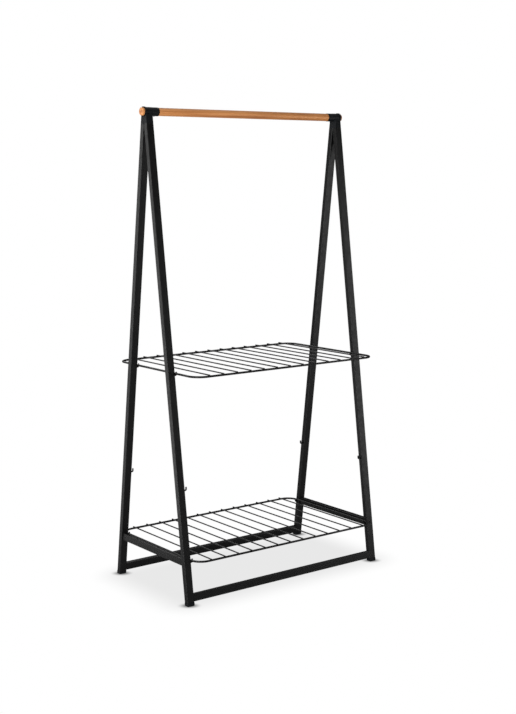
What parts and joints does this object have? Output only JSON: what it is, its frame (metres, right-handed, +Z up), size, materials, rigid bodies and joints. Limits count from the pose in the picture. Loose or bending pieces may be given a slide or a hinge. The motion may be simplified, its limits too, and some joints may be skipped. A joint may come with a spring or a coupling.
{
  "type": "garment rack",
  "caption": "A-frame garment rack: two leaning tube frames joined by a round wooden hanging rail, with wire shelves that lift off bent hooks on the legs.",
  "frame": {"origin": "on the floor, at the middle of the rack's width and depth", "axes": "+X along the hanging rail to the right seen from the front, -Y out of the front, +Z up"},
  "size_m": [0.996, 0.5754, 1.908],
  "materials": {
    "rail_wood": "clear satin lacquer, fine straight grain",
    "black_steel": "satin black powder coat",
    "shelf_wire": "satin black powder coat on welded wire",
    "black_plastic": "fine-grained moulded black",
    "black_bolts": "black coated, dome head",
    "zinc_screws": "bright zinc"
  },
  "bodies": {
    "rack_frame": {"hanging_rail": "rail_wood", "front_crossbar": "black_steel", "leg_front_left": "black_steel", "foot_front_left": "black_plastic", "leg_head_front_left": "black_plastic", "side_bar_plug_front_left": "black_plastic", "side_bar_bolt_front_left": "black_bolts", "shelf_hook_upper_front_left": "black_steel", "shelf_hook_middle_front_left": "black_steel", "shelf_hook_lower_front_left": "black_steel", "leg_front_right": "black_steel", "foot_front_right": "black_plastic", "leg_head_front_right": "black_plastic", "side_bar_plug_front_right": "black_plastic", "side_bar_bolt_front_right": "black_bolts", "shelf_hook_upper_front_right": "black_steel", "shelf_hook_middle_front_right": "black_steel", "shelf_hook_lower_front_right": "black_steel", "back_crossbar": "black_steel", "leg_back_left": "black_steel", "foot_back_left": "black_plastic", "leg_head_back_left": "black_plastic", "side_bar_plug_back_left": "black_plastic", "side_bar_bolt_back_left": "black_bolts", "shelf_hook_upper_back_left": "black_steel", "shelf_hook_middle_back_left": "black_steel", "shelf_hook_lower_back_left": "black_steel", "leg_back_right": "black_steel", "foot_back_right": "black_plastic", "leg_head_back_right": "black_plastic", "side_bar_plug_back_right": "black_plastic", "side_bar_bolt_back_right": "black_bolts", "shelf_hook_upper_back_right": "black_steel", "shelf_hook_middle_back_right": "black_steel", "shelf_hook_lower_back_right": "black_steel", "side_bar_left": "black_steel", "rail_screw_left": "zinc_screws", "side_bar_right": "black_steel", "rail_screw_right": "zinc_screws"},
    "upper_shelf": {"upper_shelf": "shelf_wire"},
    "lower_shelf": {"lower_shelf": "shelf_wire"}
  },
  "joints": [
    {"name": "upper_shelf_lift", "type": "slide", "parent": "rack_frame", "child": "upper_shelf", "axis": [0, 0, 1], "range_m": [0, 0.3]},
    {"name": "lower_shelf_lift", "type": "slide", "parent": "rack_frame", "child": "lower_shelf", "axis": [0, 0, 1], "range_m": [0, 0.24]}
  ]
}
